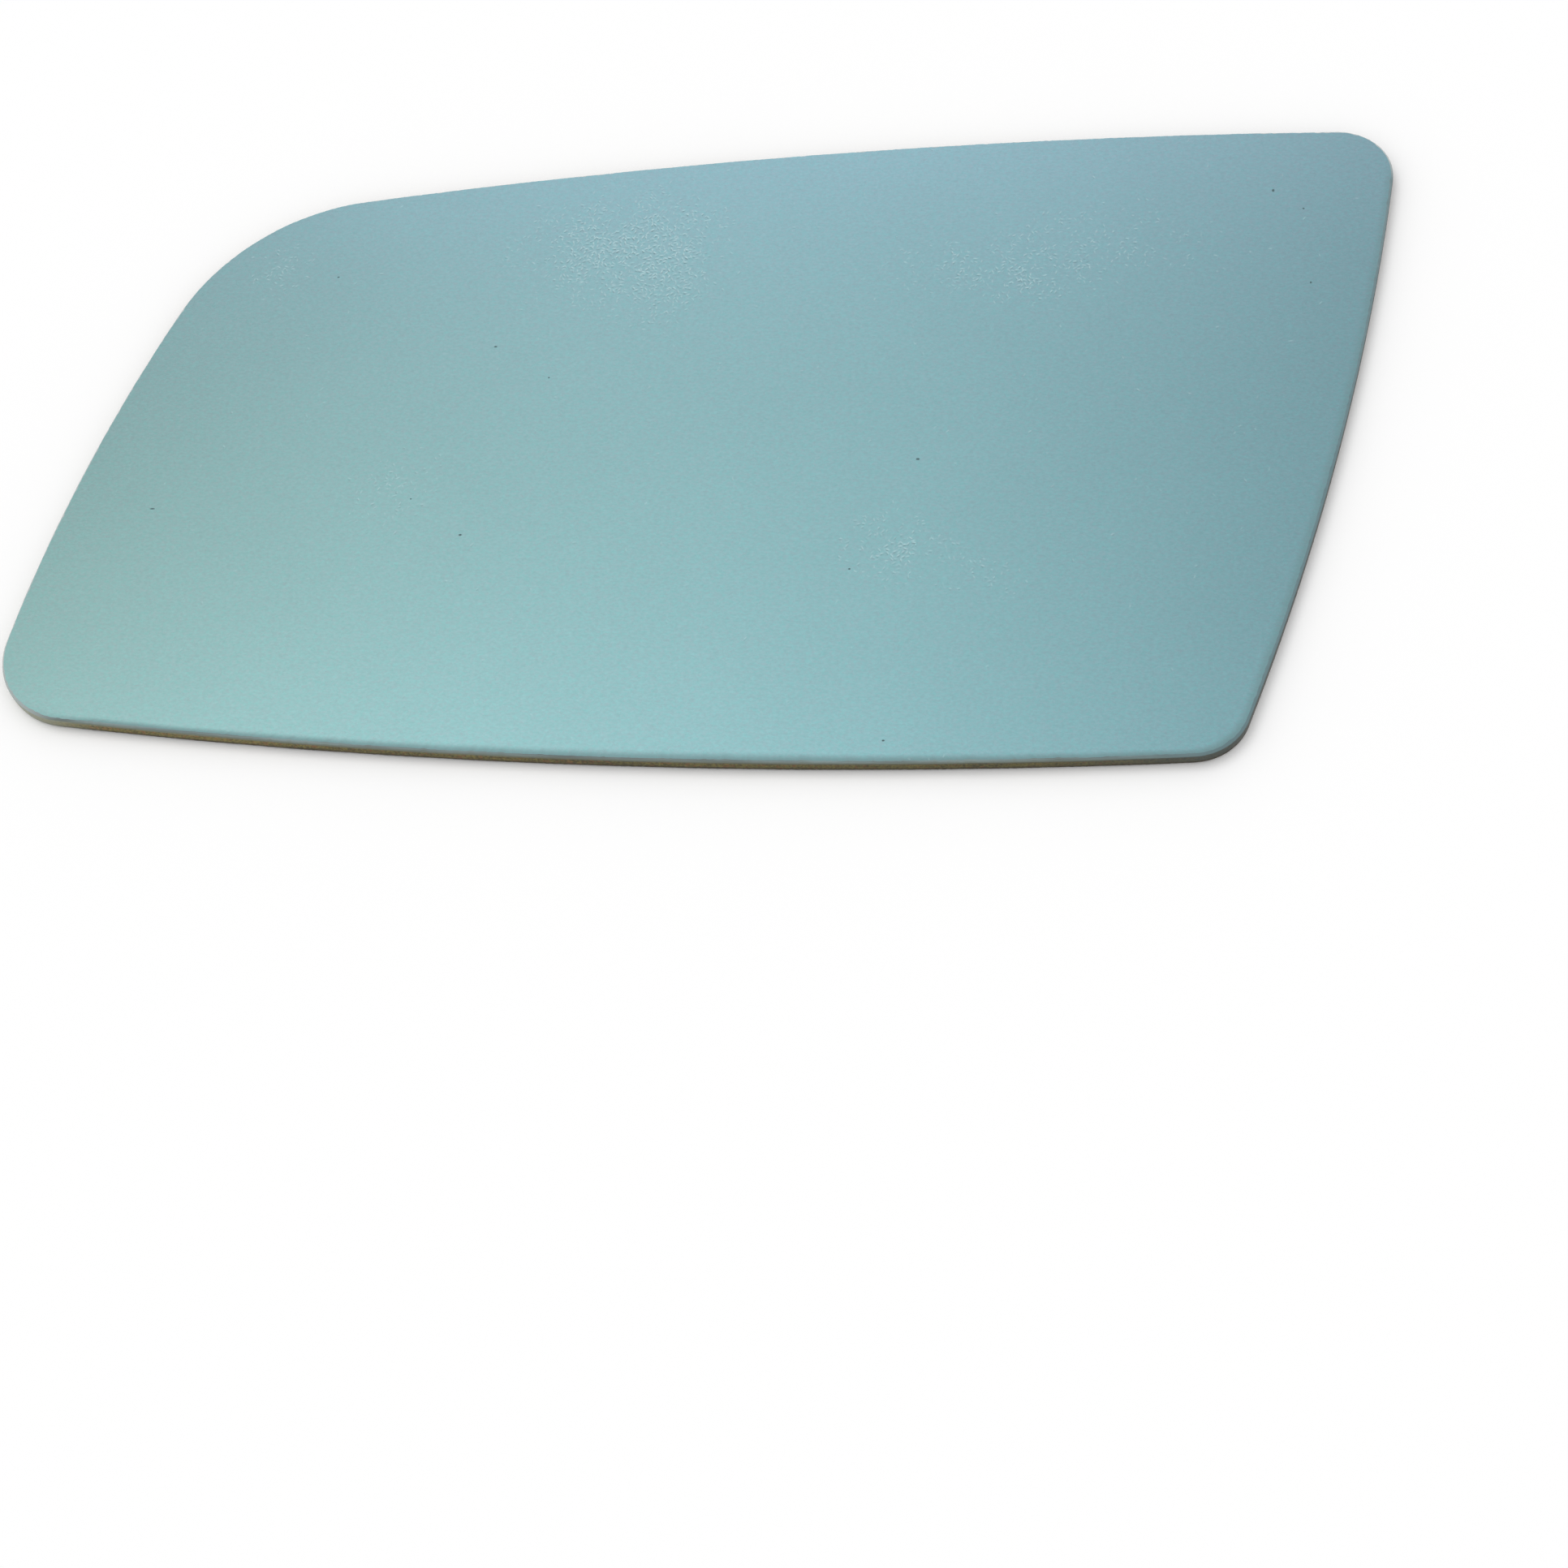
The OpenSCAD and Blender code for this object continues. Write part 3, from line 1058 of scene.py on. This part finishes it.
def camera_place(stage):
    """Where the camera stands and how it is turned.

    It stands off the pane's middle, tilted from straight up and turned about it. It looks at the
    middle with the picture rolled, and is then turned by the least turn that takes the line of
    sight from the picture's middle to the pixel in which the pane's middle lies.
    """
    level = math.sin(stage.tilt)
    back = Vector((level * math.cos(stage.turn), level * math.sin(stage.turn), math.cos(stage.tilt)))
    right = Vector((0, 0, 1)).cross(back).normalized()
    up = back.cross(right)
    turned = Matrix((right, up, back)).transposed() @ Matrix.Rotation(-stage.roll, 3, "Z")
    focal = stage.lens / stage.sensor * stage.picture_side
    half = stage.picture_side / 2
    ray = Vector((stage.aim_across - half, half - stage.aim_down, -focal))
    swing = Vector((0, 0, -1)).rotation_difference(ray).to_matrix()
    place = (turned @ swing.transposed()).to_4x4()
    place.translation = back * stage.distance
    return place


def make_camera(stage):
    """The camera, at the photograph's viewing angle."""
    data = bpy.data.cameras.new("camera")
    data.lens = stage.lens
    data.sensor_width = stage.sensor
    data.clip_start = 1 * MM
    data.clip_end = 2 * stage.floor_side
    camera = link_object("camera", data)
    camera.matrix_world = camera_place(stage)
    bpy.context.scene.camera = camera


class MIRRORGLASS_OT_stage(Operator):
    """Make the floor, the light and the camera"""

    bl_idname = "mirror_glass.stage"
    bl_label = "Stage"

    def execute(self, context):
        stage = context.scene.mirror_glass_stage
        make_floor(stage)
        make_sky(stage)
        make_lamp(stage)
        make_camera(stage)
        context.scene.view_settings.view_transform = "Standard"
        return {"FINISHED"}


class MIRRORGLASS_PT_glass(Panel):
    """Lists the pieces and their sizes"""

    bl_label = "Door mirror glass"
    bl_space_type = "VIEW_3D"
    bl_region_type = "UI"
    bl_category = "Mirror glass"

    def draw(self, context):
        for group in SETTINGS:
            settings = getattr(context.scene, group)
            for name in settings.bl_rna.properties.keys():
                if name not in {"rna_type", "name"}:
                    self.layout.prop(settings, name)
        self.layout.operator(MIRRORGLASS_OT_pane.bl_idname)
        self.layout.operator(MIRRORGLASS_OT_stage.bl_idname)


SETTINGS = {
    "mirror_glass_outline": OutlineSizes,
    "mirror_glass_grind": GrindSizes,
    "mirror_glass_coat": CoatFinish,
    "mirror_glass_rim": RimFinish,
    "mirror_glass_stage": StageSettings,
}
CLASSES = (*SETTINGS.values(), MIRRORGLASS_OT_pane, MIRRORGLASS_OT_stage, MIRRORGLASS_PT_glass)


def register():
    """Adds the classes and the scene's settings."""
    for item in CLASSES:
        bpy.utils.register_class(item)
    for name, group in SETTINGS.items():
        setattr(bpy.types.Scene, name, PointerProperty(type=group))


def unregister():
    """Takes the scene's settings and the classes away."""
    for name in SETTINGS:
        delattr(bpy.types.Scene, name)
    for item in reversed(CLASSES):
        bpy.utils.unregister_class(item)


def main():
    """Makes the pane and its stage."""
    register()
    bpy.ops.mirror_glass.pane()
    bpy.ops.mirror_glass.stage()


if __name__ == "__main__":
    main()
